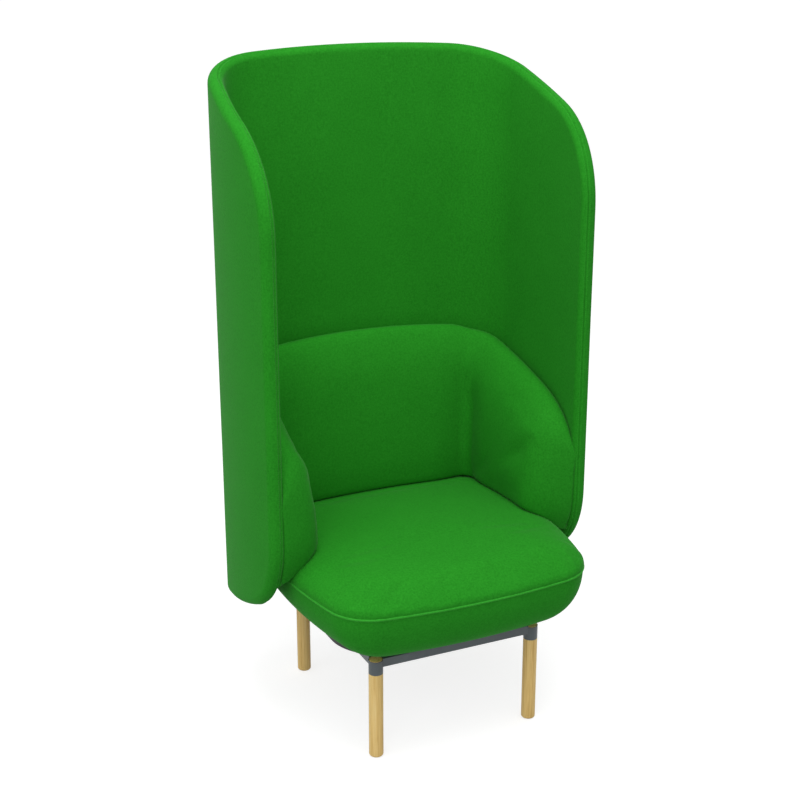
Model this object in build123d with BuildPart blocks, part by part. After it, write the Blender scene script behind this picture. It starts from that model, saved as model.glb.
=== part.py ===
from build123d import *
import math
import os

os.makedirs("parts", exist_ok=True)

# Acoustic high back lounge chair. Millimetres, +Z up, the floor at Z = 0.
# The chair faces -Y and is symmetric about X = 0. The origin is on the floor,
# in the middle of the chair's width and of its depth.

# ---------------------------------------------------------------- driving dimensions
# Plan of the acoustic screen, measured on its outer face
screen_half_width = 370.0       # at its widest
screen_widest_y = 7.0           # where the sides are widest
screen_back_y = 325.0           # rearmost point of the back
screen_front_y = -119.0         # nose of the two front edges
side_radius = 1170.0            # slow bow of each side
corner_radius = 158.0           # rear corners
back_radius = 1510.0            # slow bow of the back
plan_overrun = 40.0             # the plan line runs this far past the front edges

# Side outline of the acoustic screen
screen_height = 1390.0          # top of the rim at the back
screen_slope = 0.386            # fall of the rim towards the front, per unit of depth
screen_front_radius = 217.0     # top front corner
screen_bottom = 219.0           # lowest point of the rim, at the back
screen_bottom_radius = 824.0    # slow rise of the bottom rim towards the front
screen_toe_radius = 188.0       # bottom front corner

# Layers of the acoustic screen, from the outside in
screen_thickness = 32.0
outer_pad_depth = 11.0
screen_board_thickness = 9.0
rim_ledge = 1.0                 # flat left between the rolled rim and the board's recess
board_gap = 0.4                 # between a board and the padding round it
rim_flat = 0.1                  # left between the two roundings of the rim

# Low back and arms, one padded piece inside the screen
low_back_height = 755.0         # top of the pad at the back
low_back_slope = 0.343
arm_front_radius = 304.0        # where the top of each arm turns down
arm_turn_y = 5.0                # where that turn starts
arm_front_y = -117.0            # nose of the arms
low_back_depth = 98.0           # thickest, just above the seat
arm_nose_length = 66.0          # rounded front end of each arm, in plan
arm_nose_power = 2.0
arm_toe_radius = 20.0           # bottom front corner of each arm
pad_top_radius = 34.0
pad_crest_reach = 30.0          # from the screen to the highest line of the pad
pad_crest_rise = 19.0           # of that line above the pad's edge at the screen
pad_belly_height = 436.0        # height where the pad is thickest
pad_turn_in = (0.907, 0.79)     # where the face turns under, as shares of the belly
pad_turn_under = (0.33, 0.42)   # and of the height from the lower edge up to it
pad_underside = 356.0           # lower edge at the screen
pad_clearance = 0.5             # soft pieces stay this far from their neighbours
cover_thickness = 2.5
pad_overlap = 6.0               # the pad's sections reach this far past the screen's face
nose_steps = (1.5, 6.0, 17.0, 36.0, 65.0, 100.0)    # sections of the rounded front end
arm_middle_step = 190.0
corner_steps = (0.0, 0.2, 0.4, 0.6, 0.8)
back_steps = (0.0, 0.5, 1.0)
shell_board_thickness = 9.0
shell_board_bottom = 300.0
shell_board_inset = 26.0        # below and behind the pad's outline

# Seat cushion
seat_front_y = -325.0           # front of the piping
seat_front_bow = 1370.0         # radius of the front edge in plan
seat_side_gap = 26.0            # between the piping and the inside of the screen
seat_front_corner = 105.0
seat_least_corner = 42.0        # corners never get tighter than this
piping_height = 360.0
piping_diameter = 6.0
seat_bottom = 238.0
bowl_reach = 132.0              # how far in the lower half curves before it is flat
bowl_front_reach = 100.0        # the same at the front
bowl_power = 2.3
shoulder_rise = 48.0
shoulder_reach = 90.0
shoulder_power = 2.3
crown_rise = 18.0
cushion_cover = 2.5
foam_gap = 0.3                  # between the foam and what covers it
bowl_steps = (0.0, 0.35, 0.6, 0.8, 0.92)        # shares of the lower half's depth
base_steps = (0.975, 1.0)
shoulder_steps = (1.0, 4.0, 12.0, 28.0, 52.0)   # distances in from the piping
crown_steps = (90.0, 140.0, 200.0)

# Frame and legs
leg_diameter = 30.0
leg_spacing_x = 360.0
leg_spacing_y = 402.0
leg_centre_y = -13.0            # middle of the front and rear legs
collar_bottom = 192.0
collar_height = 30.0
collar_wall = 1.5
rail_size = 20.0
rail_wall = 2.0
rail_corner = 2.0
frame_top = 226.0
seat_board_width = 464.0
seat_board_depth = 417.0
seat_board_corner = 112.0
seat_board_shift = 2.5          # of its middle behind that of the legs
weld_gap = 0.02
leg_foot_radius = 5.0
foot_height = 1.5               # leg above the floor, on its glide
glide_diameter = 18.0
glide_thickness = 4.5
glide_clearance = 0.1
tenon_clearance = 0.1
tenon_rise = 1.0                # of the leg's tenon above its collar

# Fasteners
bolt_diameter = 6.0
bolt_clearance = 0.3            # all round, in the holes that it passes through
bolt_head_diameter = 12.0
bolt_head_height = 3.0
nut_flange_diameter = 19.0
nut_flange_thickness = 1.2
nut_barrel_diameter = 8.0
nut_barrel_length = 8.0
nut_clearance = 0.1
screw_diameter = 4.0
screw_head_diameter = 8.0
screw_head_height = 2.5
screw_clearance = 0.1
head_gap = 0.05                 # between a head and the face that it is driven to
leg_screw_length = 14.0
leg_screw_rise = 6.5            # above the bottom of the collar
bracket_width = 36.0
bracket_thickness = 4.0
bracket_clearance = 0.05        # between the edges of a flat bracket and the bent board
bracket_x = 110.0
bracket_bottom = 220.0
bracket_top = 345.0
bracket_screw_heights = (314.0, 334.0)
seat_screw_y = 105.0            # before and behind the middle of the legs
back_bolt_x = 95.0
back_bolt_heights = (440.0, 640.0)
side_bolt_y = 40.0
side_bolt_height = 480.0
head_pocket_gap = 1.0           # soft pieces stay this far from the bolt heads
screw_end_depth = 1.0           # wood left past the point of a screw

# Allowances for trimming tools, which reach past what they cut
outline_reach = 500.0
cut_past = 1.0

# ---------------------------------------------------------------- derived sizes
inner_face = -screen_thickness
screen_lip = screen_thickness / 2 + rim_ledge
board_outer = -outer_pad_depth
board_inner = board_outer - screen_board_thickness
leg_x = leg_spacing_x / 2
leg_y = leg_spacing_y / 2
rail_bottom = frame_top - rail_size
front_rail_y = leg_centre_y - leg_y
rear_rail_y = leg_centre_y + leg_y
seam_bottom = piping_height - piping_diameter / 2 - foam_gap
seam_top = piping_height + piping_diameter / 2 + foam_gap
seat_screw_places = [
    (x, leg_centre_y + y) for x in (-leg_x, leg_x) for y in (-seat_screw_y, seat_screw_y)
]
seat_wall_offset = inner_face - seat_side_gap
seat_board_thickness = seat_bottom - frame_top
crown_reach = screen_half_width + seat_wall_offset
leg_places = {
    "front_left": (-leg_x, leg_centre_y - leg_y),
    "front_right": (leg_x, leg_centre_y - leg_y),
    "rear_left": (-leg_x, leg_centre_y + leg_y),
    "rear_right": (leg_x, leg_centre_y + leg_y),
}


def inner_tangent_centre(circle_a, circle_b, radius, pick):
    """Centre of an arc that lies inside two circles and touches both."""
    (ax, ay), ra = circle_a
    (bx, by), rb = circle_b
    ra, rb = ra - radius, rb - radius
    span = math.hypot(bx - ax, by - ay)
    along = (ra * ra - rb * rb + span * span) / (2 * span)
    across = math.sqrt(ra * ra - along * along)
    ux, uy = (bx - ax) / span, (by - ay) / span
    centres = [
        (ax + along * ux + side * across * uy, ay + along * uy - side * across * ux)
        for side in (1, -1)
    ]
    return pick(centres, key=lambda point: point[1])


def bearing(centre, point):
    """Direction from a centre to a point, in degrees."""
    return math.degrees(math.atan2(point[1] - centre[1], point[0] - centre[0]))


# ---------------------------------------------------------------- plan of the wall
side_centre = (screen_half_width - side_radius, screen_widest_y)
back_centre = (0.0, screen_back_y - back_radius)
corner_centre = inner_tangent_centre(
    (side_centre, side_radius), (back_centre, back_radius), corner_radius, max
)
side_end_angle = bearing(side_centre, corner_centre)
corner_end_angle = bearing(back_centre, corner_centre)
wall_arcs = {
    "side": (side_centre, side_radius),
    "corner": (corner_centre, corner_radius),
    "back": (back_centre, back_radius),
}


def side_angle(y, offset=inner_face):
    """Angle on the side arc at a depth y."""
    return math.degrees(math.asin((y - screen_widest_y) / (side_radius + offset)))


def wall_line(offset):
    """Plan line of the wall at an offset from its outer face, open at the front."""
    front = side_angle(screen_front_y - plan_overrun)
    with BuildLine() as line:
        CenterArc(side_centre, side_radius + offset, front, side_end_angle - front)
        CenterArc(corner_centre, corner_radius + offset, side_end_angle, corner_end_angle - side_end_angle)
        CenterArc(back_centre, back_radius + offset, corner_end_angle, 90 - corner_end_angle)
        mirror(about=Plane.YZ)
    return line.wires()[0]


def wall_plane(offset, angle, arc, height=0.0):
    """Plane at a point of the right wall: local X points into the chair, local Y up."""
    centre, radius = wall_arcs[arc]
    out = Vector(math.cos(math.radians(angle)), math.sin(math.radians(angle)), 0)
    origin = Vector(centre[0], centre[1], height) + out * (radius + offset)
    return Plane(origin=origin, x_dir=-out, z_dir=(-out).cross(Vector(0, 0, 1)))


# ---------------------------------------------------------------- side outlines
slope_angle = math.degrees(math.atan(screen_slope))
inner_back_y = screen_back_y + inner_face
toe_centre_y = screen_front_y + screen_toe_radius
bottom_centre = (screen_back_y, screen_bottom + screen_bottom_radius)
toe_centre = (
    toe_centre_y,
    bottom_centre[1]
    - math.sqrt((screen_bottom_radius - screen_toe_radius) ** 2 - (bottom_centre[0] - toe_centre_y) ** 2),
)
toe_angle = bearing(bottom_centre, toe_centre) % 360


def sloped_height(y, height, slope):
    """Height of a rim line that falls towards the front from the inside of the back."""
    return height - slope * (inner_back_y - y)


def top_corner(height, slope, front_y, radius):
    """Centre of the top front corner, which touches the sloped line and the front."""
    y = front_y + radius
    drop = radius / math.cos(math.atan(slope))
    return y, sloped_height(y, height, slope) - drop


top_centre = top_corner(screen_height, screen_slope, screen_front_y, screen_front_radius)
low_slope_angle = math.degrees(math.atan(low_back_slope))
arm_top_centre = (
    arm_turn_y + arm_front_radius * math.sin(math.radians(low_slope_angle)),
    sloped_height(arm_turn_y, low_back_height, low_back_slope)
    - arm_front_radius * math.cos(math.radians(low_slope_angle)),
)


def on_circle(centre, radius, angle):
    """Point on a circle at an angle in degrees."""
    return (
        centre[0] + radius * math.cos(math.radians(angle)),
        centre[1] + radius * math.sin(math.radians(angle)),
    )


def screen_outline(inset):
    """Side outline of the screen, drawn inside the true one by an inset."""
    front = screen_front_y + inset
    top_start = on_circle(top_centre, screen_front_radius - inset, 90 + slope_angle)
    far_top = (
        top_start[0] + outline_reach,
        top_start[1] + outline_reach * screen_slope,
    )
    far_bottom = (top_start[0] + outline_reach, screen_bottom + inset)
    with BuildSketch(Plane.YZ) as outline:
        with BuildLine():
            Line(far_top, top_start)
            CenterArc(top_centre, screen_front_radius - inset, 90 + slope_angle, 90 - slope_angle)
            Line((front, top_centre[1]), (front, toe_centre[1]))
            CenterArc(toe_centre, screen_toe_radius - inset, 180, toe_angle - 180)
            CenterArc(bottom_centre, screen_bottom_radius - inset, toe_angle, 270 - toe_angle)
            Line((bottom_centre[0], far_bottom[1]), far_bottom)
            Line(far_bottom, far_top)
        make_face()
    return outline.sketch


def low_outline(inset):
    """Side outline of the low back's board, inside the outline of its pad."""
    radius = arm_front_radius - inset
    front = arm_front_y + inset
    start = on_circle(arm_top_centre, radius, 90 + low_slope_angle)
    end_angle = math.degrees(math.acos((front - arm_top_centre[0]) / radius))
    arc_end = on_circle(arm_top_centre, radius, end_angle)
    far_top = (start[0] + outline_reach, start[1] + outline_reach * low_back_slope)
    bottom = pad_underside + inset
    low_y = leg_centre_y + leg_y
    with BuildSketch(Plane.YZ) as outline:
        with BuildLine():
            Line(far_top, start)
            CenterArc(arm_top_centre, radius, 90 + low_slope_angle, end_angle - 90 - low_slope_angle)
            Line(arc_end, (front, bottom))
            Line((front, bottom), (low_y, shell_board_bottom))
            Line((low_y, shell_board_bottom), (far_top[0], shell_board_bottom))
            Line((far_top[0], shell_board_bottom), far_top)
        make_face()
    return outline.sketch


def grow(faces, depth):
    """Solid grown at right angles from wall faces: outwards where depth is positive."""
    slab = Solid.thicken(faces, depth)
    grew_outwards = slab.bounding_box().max.Y > faces.bounding_box().max.Y + abs(depth) / 2
    if grew_outwards != (depth > 0):
        slab = Solid.thicken(faces, -depth)
    return slab


def wall_layer(near, far, outline):
    """Layer of the U-shaped wall between two offsets, trimmed by a side outline.

    The outline is cut once, in the screen's inner face, and everything is grown
    from there, so the rim stays square to the wall all the way round the corners.
    """
    with BuildPart() as trim:
        extrude(outline, amount=2 * screen_half_width, both=True)
    sheet = Shell.extrude(wall_line(inner_face), (0, 0, 2 * screen_height))
    faces = Shell(sheet.intersect(trim.part).faces())
    step = near - inner_face
    if step:
        walls = grow(faces, step).faces().filter_by(GeomType.CYLINDER)
        faces = Shell([wall for wall in walls if faces.distance_to(wall.center()) > abs(step) / 2])
    return grow(faces, far - near)


def rim_edges(slab):
    """Edges where the slab's two wall faces meet its rim."""
    walls = slab.faces().filter_by(GeomType.CYLINDER)
    rims = slab.faces().filter_by(GeomType.CYLINDER, reverse=True)
    return walls.edges() & rims.edges()


def wall_point(offset, angle, arc):
    """Point of the right wall and its outward direction, in plan."""
    centre, radius = wall_arcs[arc]
    out = Vector(math.cos(math.radians(angle)), math.sin(math.radians(angle)), 0)
    return Vector(centre[0], centre[1], 0) + out * (radius + offset), out


def drill_plane(place, offset):
    """Plane across a fastener's axis, at an offset, facing into the chair."""
    arc, angle, height, side = place
    foot, out = wall_point(offset, angle, arc)
    return Plane(origin=(side * foot.X, foot.Y, height), z_dir=(-side * out.X, -out.Y, 0))


def well(offset):
    """Everything inside the wall at an offset, up to the top of the screen."""
    line = wall_line(offset)
    with BuildPart() as space:
        with BuildSketch():
            with BuildLine():
                add(line)
                Line(line @ 1, line @ 0)
            make_face()
        extrude(amount=screen_height)
    return space.part


def rods(places, near, far, diameter):
    """A round bar at each place, from one offset to another."""
    with BuildPart() as bars:
        for place in places:
            with BuildSketch(drill_plane(place, near)):
                Circle(diameter / 2)
            extrude(amount=near - far)
    return bars.part


def back_angle(x):
    """Angle on the back arc at a distance x from the middle."""
    return 90 - math.degrees(math.asin(x / (back_radius + inner_face)))


def save(builder, label):
    """Name the piece and write it out."""
    builder.part.label = label
    export_step(builder.part, f"parts/{label}.step")


# ---------------------------------------------------------------- bolts from low back to screen
bolt_places = [("side", side_angle(side_bolt_y), side_bolt_height, side) for side in (1, -1)]
bolt_places += [
    ("back", back_angle(back_bolt_x), height, side)
    for height in back_bolt_heights
    for side in (1, -1)
]
lining_face = inner_face - pad_clearance
shell_board_face = lining_face - shell_board_thickness
head_face = shell_board_face - head_gap
head_end = head_face - bolt_head_height
head_pocket = bolt_head_diameter + 2 * head_pocket_gap
bolt_hole = bolt_diameter + 2 * bolt_clearance
nut_seat = board_outer - board_gap
nut_shoulder = nut_seat - nut_flange_thickness
nut_end = nut_shoulder - nut_barrel_length + nut_flange_thickness
flange_pocket = nut_flange_diameter + 2 * nut_clearance
barrel_hole = nut_barrel_diameter + 2 * nut_clearance

bracket_hollow = bracket_width**2 / (8 * (back_radius + shell_board_face))
bracket_face = shell_board_face - bracket_hollow - bracket_clearance
bracket_back = bracket_face - bracket_thickness
bracket_reach = inner_back_y - rear_rail_y
bracket_screw_places = [
    ("back", back_angle(bracket_x), height, side)
    for height in bracket_screw_heights
    for side in (1, -1)
]
screw_hole = screw_diameter + 2 * screw_clearance
screw_end = shell_board_face + shell_board_thickness - screw_end_depth

with BuildPart() as screen_bolts:
    add(rods(bolt_places, nut_shoulder, head_face, bolt_diameter))
    add(rods(bolt_places, head_face, head_end, bolt_head_diameter))
save(screen_bolts, "screen_bolts")

with BuildPart() as screen_tee_nuts:
    add(rods(bolt_places, nut_seat, nut_shoulder, nut_flange_diameter))
    add(rods(bolt_places, nut_shoulder, nut_end, nut_barrel_diameter))
    add(rods(bolt_places, nut_seat, nut_end, bolt_diameter + 2 * nut_clearance), mode=Mode.SUBTRACT)
save(screen_tee_nuts, "screen_tee_nuts")

# ---------------------------------------------------------------- acoustic screen
layer_outline = screen_outline(screen_lip + board_gap)

with BuildPart() as screen_outer_pad:
    add(wall_layer(inner_face, 0.0, screen_outline(0.0)))
    fillet(rim_edges(screen_outer_pad.part), screen_thickness / 2 - rim_flat)
    add(wall_layer(inner_face - cut_past, board_outer, screen_outline(screen_lip)), mode=Mode.SUBTRACT)
save(screen_outer_pad, "screen_outer_pad")

with BuildPart() as screen_board:
    add(wall_layer(board_inner, board_outer - board_gap, layer_outline))
    add(rods(bolt_places, 0.0, nut_shoulder - nut_clearance, flange_pocket), mode=Mode.SUBTRACT)
    add(rods(bolt_places, 0.0, inner_face, barrel_hole), mode=Mode.SUBTRACT)
save(screen_board, "screen_board")

with BuildPart() as screen_inner_pad:
    add(wall_layer(inner_face, board_inner - board_gap, layer_outline))
    add(rods(bolt_places, 0.0, lining_face, bolt_hole), mode=Mode.SUBTRACT)
save(screen_inner_pad, "screen_inner_pad")

# ---------------------------------------------------------------- low back and arms
def pad_top(y):
    """Height of the pad's edge at the screen."""
    if y > arm_turn_y:
        return sloped_height(y, low_back_height, low_back_slope)
    return arm_top_centre[1] + math.sqrt(arm_front_radius**2 - (y - arm_top_centre[0]) ** 2)


def pad_bottom(y):
    """Height of the pad's lower edge at the screen, turned up at the front."""
    ahead = max(arm_front_y + arm_toe_radius - y, 0.0)
    return pad_underside + arm_toe_radius - math.sqrt(arm_toe_radius**2 - ahead**2)


def pad_share(y):
    """Thickness of the pad, as a share of its full depth, rounded off at the front."""
    left = max(1 - (y - arm_front_y) / arm_nose_length, 0.0)
    return (1 - left**arm_nose_power) ** (1 / arm_nose_power)


def pad_section(arc, angle, inset, nose_shift):
    """Upright section of the pad, drawn inside its surface by an inset."""
    foot, _ = wall_point(inner_face, angle, arc)
    y = foot.Y - nose_shift
    share = pad_share(y)
    belly = low_back_depth * share
    radius = pad_top_radius * share
    crest = (pad_crest_reach * share, pad_top(y) + pad_crest_rise * share)
    top_middle = (crest[0], crest[1] - radius)
    reach = belly - crest[0]
    rise = top_middle[1] - pad_belly_height
    face_radius = (reach**2 + rise**2 - radius**2) / (2 * (reach - radius))
    face_middle = (belly - face_radius, pad_belly_height)
    turn = bearing(face_middle, top_middle)
    edge_drop = crest[1] - pad_top(y)
    edge_radius = (crest[0] ** 2 + edge_drop**2) / (2 * edge_drop)
    lowest = pad_bottom(y)
    climb = pad_belly_height - lowest
    edge = (0.0, pad_top(y) - inset)
    peak = (crest[0], crest[1] - inset)
    shoulder = on_circle(top_middle, radius - inset, turn)
    front = (belly - inset, pad_belly_height)
    slant = inset * math.sqrt(0.5)
    turn_in = (pad_turn_in[0] * belly - slant, lowest + pad_turn_in[1] * climb + slant)
    under = (pad_turn_under[0] * belly - slant, lowest + pad_turn_under[1] * climb + slant)
    corner = (0.0, lowest + 2 * slant)
    with BuildSketch(wall_plane(inner_face, angle, arc)) as section:
        with BuildLine():
            Line((-pad_overlap, edge[1]), edge)
            RadiusArc(edge, peak, edge_radius)
            RadiusArc(peak, shoulder, radius - inset)
            RadiusArc(shoulder, front, face_radius - inset)
            TangentArc(front, turn_in, tangent=(0, -1))
            ThreePointArc(turn_in, under, corner)
            Line(corner, (-pad_overlap, corner[1]))
            Line((-pad_overlap, corner[1]), (-pad_overlap, edge[1]))
        make_face()
    return section.sketch


def pad_body(inset):
    """The whole pad, inside its surface by an inset, in straight steps between sections."""
    depths = [arm_front_y + inset + step for step in nose_steps + (arm_middle_step,)]
    right = [pad_section("side", side_angle(y), inset, inset) for y in depths]
    turn = corner_end_angle - side_end_angle
    right += [pad_section("corner", side_end_angle + turn * step, inset, 0.0) for step in corner_steps]
    rest = 90 - corner_end_angle
    right += [pad_section("back", corner_end_angle + rest * step, inset, 0.0) for step in back_steps]
    return loft(right + [section.mirror(Plane.YZ) for section in reversed(right[:-1])], ruled=True)


pad_outside = pad_body(0.0)
pad_inside = pad_body(cover_thickness)
foam_body = pad_body(cover_thickness + pad_clearance)
board_pocket = wall_layer(
    inner_face + cut_past, shell_board_face - pad_clearance, low_outline(shell_board_inset - pad_clearance)
)

with BuildPart() as low_back_cover:
    add(pad_outside)
    add(well(lining_face), mode=Mode.INTERSECT)
    add(pad_inside, mode=Mode.SUBTRACT)
    add(board_pocket, mode=Mode.SUBTRACT)
save(low_back_cover, "low_back_cover")

with BuildPart() as low_back_foam:
    add(foam_body)
    add(well(shell_board_face - pad_clearance), mode=Mode.INTERSECT)
    add(rods(bolt_places, 0.0, head_end - head_pocket_gap, head_pocket), mode=Mode.SUBTRACT)
save(low_back_foam, "low_back_foam")

with BuildPart() as low_back_board:
    add(wall_layer(lining_face, shell_board_face, low_outline(shell_board_inset)))
    add(rods(bolt_places, 0.0, shell_board_face - cut_past, bolt_hole), mode=Mode.SUBTRACT)
    add(
        rods(bracket_screw_places, screw_end + screw_clearance, shell_board_face - cut_past, screw_hole),
        mode=Mode.SUBTRACT,
    )
save(low_back_board, "low_back_board")

# ---------------------------------------------------------------- brackets
with BuildPart() as shell_brackets:
    with BuildSketch(wall_plane(bracket_face, back_angle(bracket_x), "back")):
        with BuildLine():
            Polyline(
                (0, bracket_bottom),
                (bracket_reach, bracket_bottom),
                (bracket_reach, bracket_bottom + bracket_thickness),
                (bracket_thickness, bracket_bottom + bracket_thickness),
                (bracket_thickness, bracket_top),
                (0, bracket_top),
                close=True,
            )
        make_face()
    extrude(amount=bracket_width / 2, both=True)
    mirror(about=Plane.YZ)
    with BuildSketch(Plane.XY.offset(bracket_bottom - cut_past)):
        with Locations((0, rear_rail_y + rail_size / 2 + weld_gap)):
            Rectangle(leg_spacing_x, bracket_reach, align=(Align.CENTER, Align.MAX))
    extrude(amount=bracket_thickness + 2 * cut_past, mode=Mode.SUBTRACT)
    add(
        rods(bracket_screw_places, bracket_face + cut_past, bracket_back - cut_past, screw_hole),
        mode=Mode.SUBTRACT,
    )
save(shell_brackets, "shell_brackets")

with BuildPart() as bracket_screws:
    head_seat = bracket_back - head_gap
    add(rods(bracket_screw_places, screw_end, head_seat, screw_diameter))
    add(rods(bracket_screw_places, head_seat, head_seat - screw_head_height, screw_head_diameter))
save(bracket_screws, "bracket_screws")

# ---------------------------------------------------------------- seat
def seat_plan(height, inset, front_inset=None):
    """Plan of the seat cushion at a height, inside its piping by an inset."""
    if front_inset is None:
        front_inset = inset
    offset = seat_wall_offset - inset
    side = (side_centre, side_radius + offset)
    rear = (back_centre, back_radius + offset)
    front = ((0.0, seat_front_y + seat_front_bow), seat_front_bow - front_inset)
    rear_corner = max(corner_radius + offset, seat_least_corner)
    front_corner = max(seat_front_corner - inset, seat_least_corner)
    rear_middle = inner_tangent_centre(side, rear, rear_corner, max)
    front_middle = inner_tangent_centre(side, front, front_corner, min)
    front_end = bearing(front[0], front_middle)
    side_start = bearing(side[0], front_middle)
    side_end = bearing(side[0], rear_middle)
    rear_start = bearing(rear[0], rear_middle)
    with BuildSketch(Plane.XY.offset(height)) as plan:
        with BuildLine():
            CenterArc(*front, -90, front_end + 90)
            CenterArc(front_middle, front_corner, front_end, side_start - front_end)
            CenterArc(*side, side_start, side_end - side_start)
            CenterArc(rear_middle, rear_corner, side_end, rear_start - side_end)
            CenterArc(*rear, rear_start, 90 - rear_start)
            mirror(about=Plane.YZ)
        make_face()
    return plan.sketch


def bowl(inset):
    """Lower half of the cushion, from its piping down, inside by an inset."""
    plans = []
    for share in bowl_steps + base_steps:
        drawn_in = 1 - (1 - share**bowl_power) ** (1 / bowl_power)
        height = seam_bottom - share * (seam_bottom - seat_bottom - inset)
        plans.append(seat_plan(height, bowl_reach * drawn_in + inset, bowl_front_reach * drawn_in + inset))
    break_at = len(bowl_steps)
    return loft(plans[:break_at]) + loft(plans[break_at - 1 :], ruled=True)


def crown(inset):
    """Upper half of the cushion, from its piping up, inside by an inset."""
    plans = [seat_plan(seam_top, inset)]
    for reach in shoulder_steps + crown_steps:
        left = max(1 - reach / shoulder_reach, 0.0)
        shoulder = shoulder_rise * (1 - left**shoulder_power) ** (1 / shoulder_power)
        rise = crown_rise * (1 - (1 - reach / crown_reach) ** 2)
        drop = inset * shoulder / shoulder_rise
        plans.append(seat_plan(piping_height + shoulder + rise - drop, reach + inset))
    break_at = len(shoulder_steps) + 1
    return loft(plans[:break_at]) + loft(plans[break_at - 1 :], ruled=True)


bowl_outside = bowl(0.0)
bowl_inside = bowl(cushion_cover)
crown_outside = crown(0.0)
crown_inside = crown(cushion_cover)
foam_bowl = bowl(cushion_cover + foam_gap)
foam_crown = crown(cushion_cover + foam_gap)
foam_waist = extrude(seat_plan(seam_bottom, piping_diameter + foam_gap), amount=seam_top - seam_bottom)

with BuildPart() as seat_cover_lower:
    add(bowl_outside)
    add(bowl_inside, mode=Mode.SUBTRACT)
save(seat_cover_lower, "seat_cover_lower")

with BuildPart() as seat_cover_top:
    add(crown_outside)
    add(crown_inside, mode=Mode.SUBTRACT)
save(seat_cover_top, "seat_cover_top")

with BuildPart() as seat_foam:
    add(foam_bowl)
    add(foam_waist)
    add(foam_crown)
save(seat_foam, "seat_foam")

with BuildPart() as seat_piping:
    loop = seat_plan(piping_height, piping_diameter / 2).wires()[0]
    with BuildSketch(Plane(origin=loop @ 0, z_dir=loop % 0)):
        Circle(piping_diameter / 2)
    sweep(path=loop)
save(seat_piping, "seat_piping")

with BuildPart() as seat_board:
    with BuildSketch(Plane.XY.offset(frame_top)):
        with Locations((0, leg_centre_y + seat_board_shift)):
            RectangleRounded(seat_board_width, seat_board_depth, seat_board_corner)
    extrude(amount=seat_board_thickness)
    with Locations(Plane.XY.offset(seat_bottom)):
        with Locations(*seat_screw_places):
            CounterBoreHole(
                nut_barrel_diameter / 2 + nut_clearance,
                nut_flange_diameter / 2 + nut_clearance,
                nut_flange_thickness + nut_clearance,
            )
save(seat_board, "seat_board")

with BuildPart() as seat_tee_nuts:
    flange_bottom = seat_bottom - nut_flange_thickness
    with BuildSketch(Plane.XY.offset(flange_bottom)):
        with Locations(*seat_screw_places):
            Circle(nut_flange_diameter / 2)
    extrude(amount=nut_flange_thickness)
    with BuildSketch(Plane.XY.offset(flange_bottom)):
        with Locations(*seat_screw_places):
            Circle(nut_barrel_diameter / 2)
    extrude(amount=-nut_barrel_length)
    with BuildSketch(Plane.XY.offset(seat_bottom)):
        with Locations(*seat_screw_places):
            Circle(bolt_diameter / 2 + nut_clearance)
    extrude(amount=-nut_barrel_length - nut_flange_thickness, mode=Mode.SUBTRACT)
save(seat_tee_nuts, "seat_tee_nuts")

with BuildPart() as seat_bolts:
    with BuildSketch(Plane.XY.offset(rail_bottom - head_gap)):
        with Locations(*seat_screw_places):
            Circle(bolt_head_diameter / 2)
    extrude(amount=-bolt_head_height)
    with BuildSketch(Plane.XY.offset(rail_bottom - head_gap)):
        with Locations(*seat_screw_places):
            Circle(bolt_diameter / 2)
    extrude(amount=flange_bottom - rail_bottom + head_gap)
save(seat_bolts, "seat_bolts")

# ---------------------------------------------------------------- frame
def make_rail(centre, length, along, label):
    """Square tube between two collars, its ends hollowed to fit them."""
    turn = 0 if along == "x" else 90
    plane = Plane(origin=(centre[0], centre[1], rail_bottom + rail_size / 2)).rotated((0, 0, turn))
    with BuildPart() as rail:
        with BuildSketch(Plane(origin=plane.origin, x_dir=plane.y_dir, z_dir=plane.x_dir)):
            RectangleRounded(rail_size, rail_size, rail_corner)
            RectangleRounded(
                rail_size - 2 * rail_wall, rail_size - 2 * rail_wall, rail_corner / 2, mode=Mode.SUBTRACT
            )
        extrude(amount=length / 2, both=True)
        with BuildSketch(Plane.XY.offset(rail_bottom - cut_past)):
            with Locations(*leg_places.values()):
                Circle(leg_diameter / 2 + weld_gap)
        extrude(amount=rail_size + 2 * cut_past, mode=Mode.SUBTRACT)
        if along == "y":
            with BuildSketch(Plane.XY.offset(rail_bottom - cut_past)):
                with Locations(*seat_screw_places):
                    Circle(bolt_hole / 2)
            extrude(amount=rail_size + 2 * cut_past, mode=Mode.SUBTRACT)
    save(rail, label)


make_rail((0, front_rail_y), leg_spacing_x, "x", "rail_front")
make_rail((0, rear_rail_y), leg_spacing_x, "x", "rail_rear")
make_rail((-leg_x, leg_centre_y), leg_spacing_y, "y", "rail_left")
make_rail((leg_x, leg_centre_y), leg_spacing_y, "y", "rail_right")


def screw_plane(place):
    """Plane at a collar, facing from the middle of the chair to the leg's axis."""
    x, y = place
    inward = Vector(-math.copysign(1, x), -math.copysign(1, y - leg_centre_y), 0).normalized()
    start = Vector(x, y, collar_bottom + leg_screw_rise) + inward * (leg_diameter / 2 + head_gap)
    return Plane(origin=start, z_dir=-inward)


with BuildPart() as leg_screws:
    for place in leg_places.values():
        with BuildSketch(screw_plane(place)):
            Circle(screw_head_diameter / 2)
        extrude(amount=-screw_head_height)
        with BuildSketch(screw_plane(place)):
            Circle(screw_diameter / 2)
        extrude(amount=leg_screw_length)
save(leg_screws, "leg_screws")

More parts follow.
